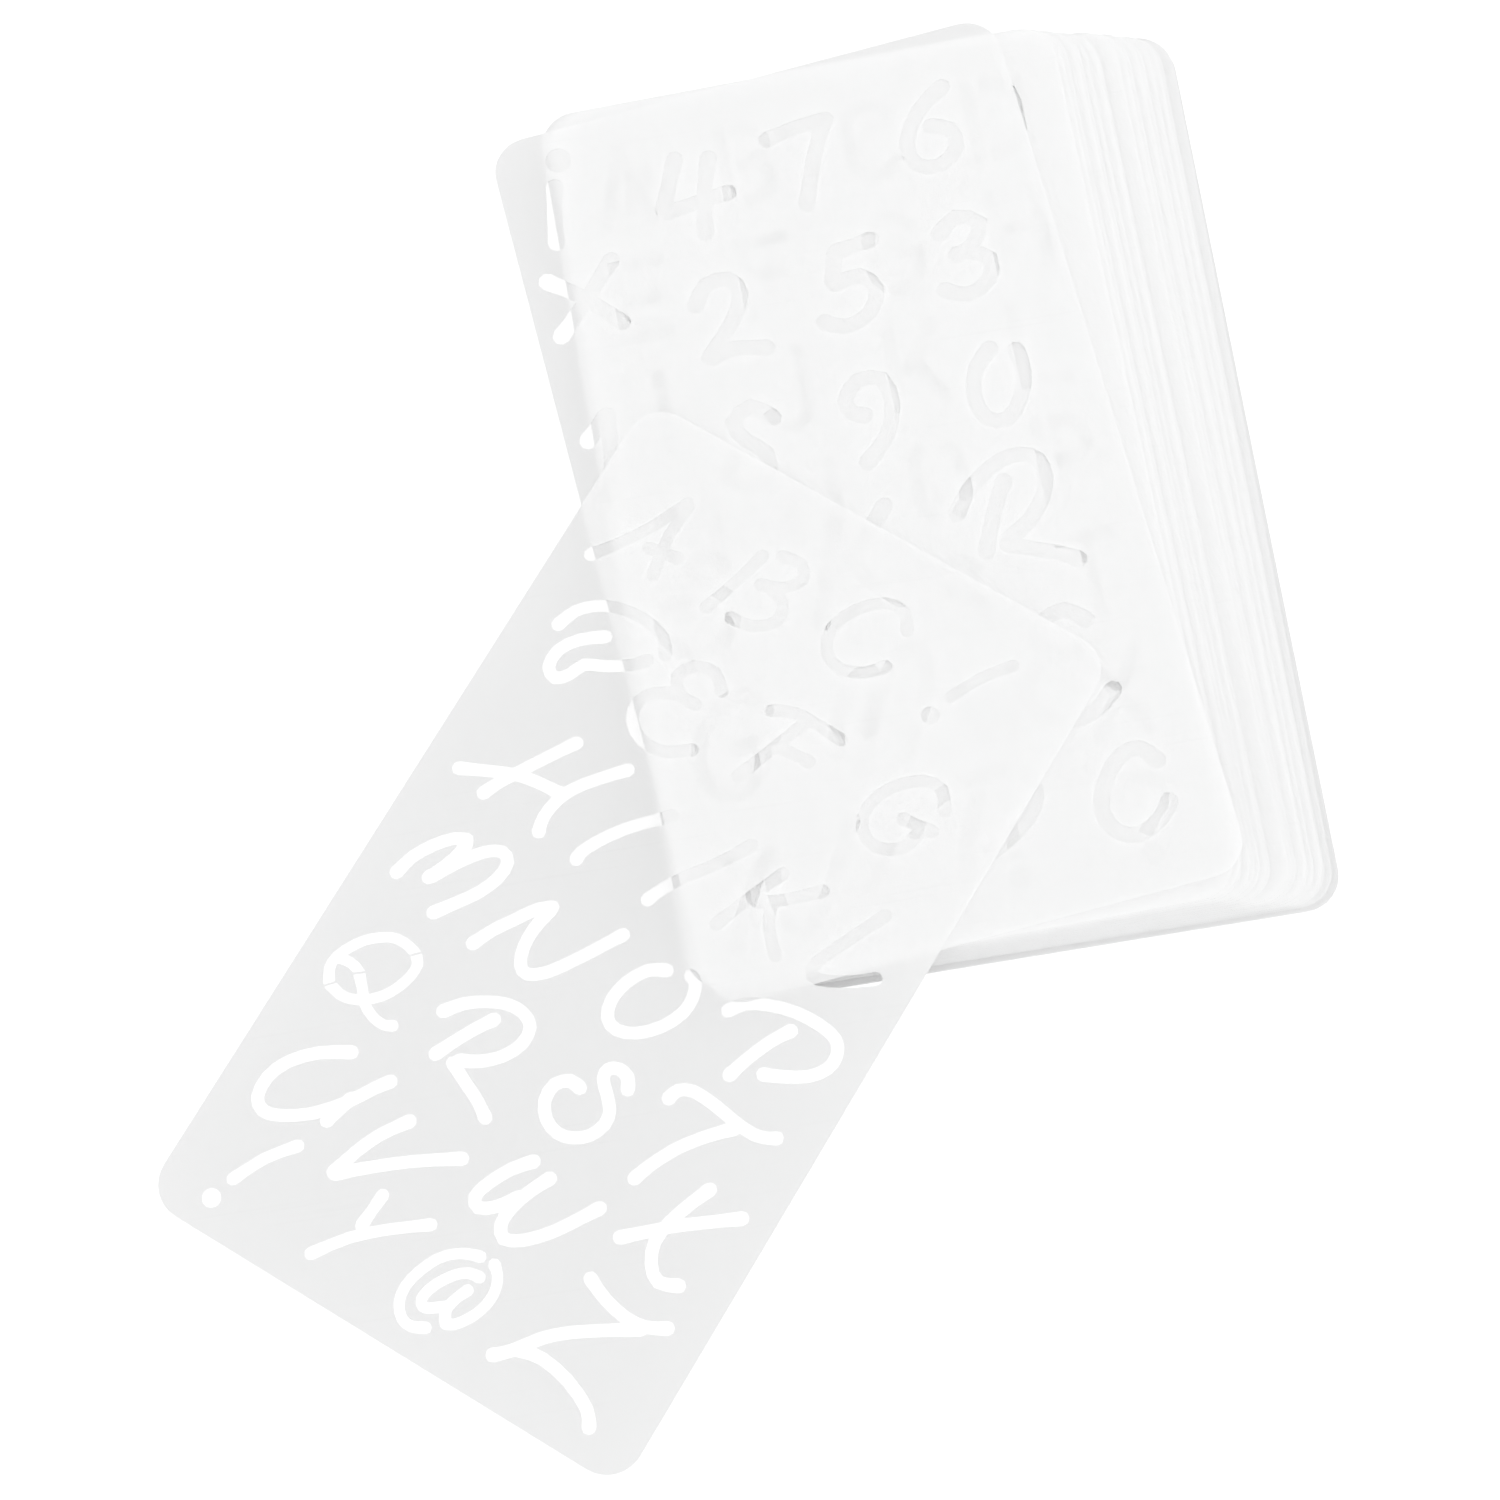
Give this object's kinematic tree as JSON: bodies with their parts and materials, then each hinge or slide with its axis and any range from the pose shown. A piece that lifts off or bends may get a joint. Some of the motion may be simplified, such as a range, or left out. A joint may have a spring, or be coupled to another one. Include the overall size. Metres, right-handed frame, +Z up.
{
  "type": "lettering stencil",
  "caption": "Pack of loose frosted plastic lettering stencil sheets with cut-out capitals, small letters, figures and marks, lying as a spread stack with the top sheets swivelled out.",
  "frame": {"origin": "middle of the pack's outline seen from above, at the height of the surface that the bottom sheet lies on", "axes": "+Z up through the sheets' thickness; +Y along the bottom sheet's long edge, towards the end that the sheets draw out of; +X along its short edge, away from the fanned sheet"},
  "size_m": [0.2226, 0.265, 0.007],
  "materials": {
    "frosted_sheet": "frosted, see-through white"
  },
  "bodies": {
    "fanned_brush_capitals_sheet": {"fanned_brush_capitals_sheet": "frosted_sheet"},
    "second_brush_figures_sheet": {"second_brush_figures_sheet": "frosted_sheet"},
    "block_capitals_sheet": {"block_capitals_sheet": "frosted_sheet"},
    "round_small_letters_sheet": {"round_small_letters_sheet": "frosted_sheet"},
    "large_capitals_a_to_o_sheet": {"large_capitals_a_to_o_sheet": "frosted_sheet"},
    "fine_capitals_sheet": {"fine_capitals_sheet": "frosted_sheet"},
    "slanted_capitals_sheet": {"slanted_capitals_sheet": "frosted_sheet"},
    "narrow_figures_sheet": {"narrow_figures_sheet": "frosted_sheet"},
    "block_small_letters_sheet": {"block_small_letters_sheet": "frosted_sheet"},
    "large_capitals_p_to_z_sheet": {"large_capitals_p_to_z_sheet": "frosted_sheet"},
    "round_capitals_sheet": {"round_capitals_sheet": "frosted_sheet"},
    "heavy_figures_sheet": {"heavy_figures_sheet": "frosted_sheet"},
    "fine_small_letters_sheet": {"fine_small_letters_sheet": "frosted_sheet"},
    "narrow_capitals_sheet": {"narrow_capitals_sheet": "frosted_sheet"},
    "slanted_small_letters_sheet": {"slanted_small_letters_sheet": "frosted_sheet"},
    "round_figures_sheet": {"round_figures_sheet": "frosted_sheet"},
    "narrow_small_letters_sheet": {"narrow_small_letters_sheet": "frosted_sheet"},
    "slanted_figures_sheet": {"slanted_figures_sheet": "frosted_sheet"},
    "punctuation_sheet": {"punctuation_sheet": "frosted_sheet"},
    "bottom_large_figures_sheet": {"bottom_large_figures_sheet": "frosted_sheet"}
  },
  "joints": [
    {"name": "fanned_sheet_swivel", "type": "hinge", "parent": "bottom_large_figures_sheet", "child": "fanned_brush_capitals_sheet", "pos_m": [0.02773, 0.00492, 0.00665], "axis": [0, 0, 1], "range_deg": [-50, 42]},
    {"name": "second_sheet_swivel", "type": "hinge", "parent": "bottom_large_figures_sheet", "child": "second_brush_figures_sheet", "pos_m": [0.03534, 0.04002, 0.0063], "axis": [0, 0, 1], "range_deg": [-45, 45]},
    {"name": "block_capitals_slide", "type": "slide", "parent": "bottom_large_figures_sheet", "child": "block_capitals_sheet", "axis": [-0.0226, 0.9997, 0], "range_m": [-0.03, 0.12]},
    {"name": "round_small_letters_slide", "type": "slide", "parent": "bottom_large_figures_sheet", "child": "round_small_letters_sheet", "axis": [-0.0227, 0.9997, 0], "range_m": [-0.03, 0.12]},
    {"name": "large_capitals_a_to_o_slide", "type": "slide", "parent": "bottom_large_figures_sheet", "child": "large_capitals_a_to_o_sheet", "axis": [-0.0185, 0.9998, 0], "range_m": [-0.03, 0.12]},
    {"name": "fine_capitals_slide", "type": "slide", "parent": "bottom_large_figures_sheet", "child": "fine_capitals_sheet", "axis": [-0.0166, 0.9999, 0], "range_m": [-0.03, 0.12]},
    {"name": "slanted_capitals_slide", "type": "slide", "parent": "bottom_large_figures_sheet", "child": "slanted_capitals_sheet", "axis": [-0.0177, 0.9998, 0], "range_m": [-0.03, 0.12]},
    {"name": "narrow_figures_slide", "type": "slide", "parent": "bottom_large_figures_sheet", "child": "narrow_figures_sheet", "axis": [-0.0149, 0.9999, 0], "range_m": [-0.03, 0.12]},
    {"name": "block_small_letters_slide", "type": "slide", "parent": "bottom_large_figures_sheet", "child": "block_small_letters_sheet", "axis": [-0.0111, 0.9999, 0], "range_m": [-0.03, 0.12]},
    {"name": "large_capitals_p_to_z_slide", "type": "slide", "parent": "bottom_large_figures_sheet", "child": "large_capitals_p_to_z_sheet", "axis": [-0.0118, 0.9999, 0], "range_m": [-0.03, 0.12]},
    {"name": "round_capitals_slide", "type": "slide", "parent": "bottom_large_figures_sheet", "child": "round_capitals_sheet", "axis": [-0.011, 0.9999, 0], "range_m": [-0.03, 0.12]},
    {"name": "heavy_figures_slide", "type": "slide", "parent": "bottom_large_figures_sheet", "child": "heavy_figures_sheet", "axis": [-0.0066, 1, 0], "range_m": [-0.03, 0.12]},
    {"name": "fine_small_letters_slide", "type": "slide", "parent": "bottom_large_figures_sheet", "child": "fine_small_letters_sheet", "axis": [-0.0057, 1, 0], "range_m": [-0.03, 0.12]},
    {"name": "narrow_capitals_slide", "type": "slide", "parent": "bottom_large_figures_sheet", "child": "narrow_capitals_sheet", "axis": [-0.0064, 1, 0], "range_m": [-0.03, 0.12]},
    {"name": "slanted_small_letters_slide", "type": "slide", "parent": "bottom_large_figures_sheet", "child": "slanted_small_letters_sheet", "axis": [-0.0028, 1, 0], "range_m": [-0.03, 0.12]},
    {"name": "round_figures_slide", "type": "slide", "parent": "bottom_large_figures_sheet", "child": "round_figures_sheet", "axis": [0.0002, 1, 0], "range_m": [-0.03, 0.12]},
    {"name": "narrow_small_letters_slide", "type": "slide", "parent": "bottom_large_figures_sheet", "child": "narrow_small_letters_sheet", "axis": [-0.0009, 1, 0], "range_m": [-0.03, 0.12]},
    {"name": "slanted_figures_slide", "type": "slide", "parent": "bottom_large_figures_sheet", "child": "slanted_figures_sheet", "axis": [0.0009, 1, 0], "range_m": [-0.03, 0.12]},
    {"name": "punctuation_slide", "type": "slide", "parent": "bottom_large_figures_sheet", "child": "punctuation_sheet", "axis": [0.0052, 1, 0], "range_m": [-0.03, 0.12]}
  ]
}
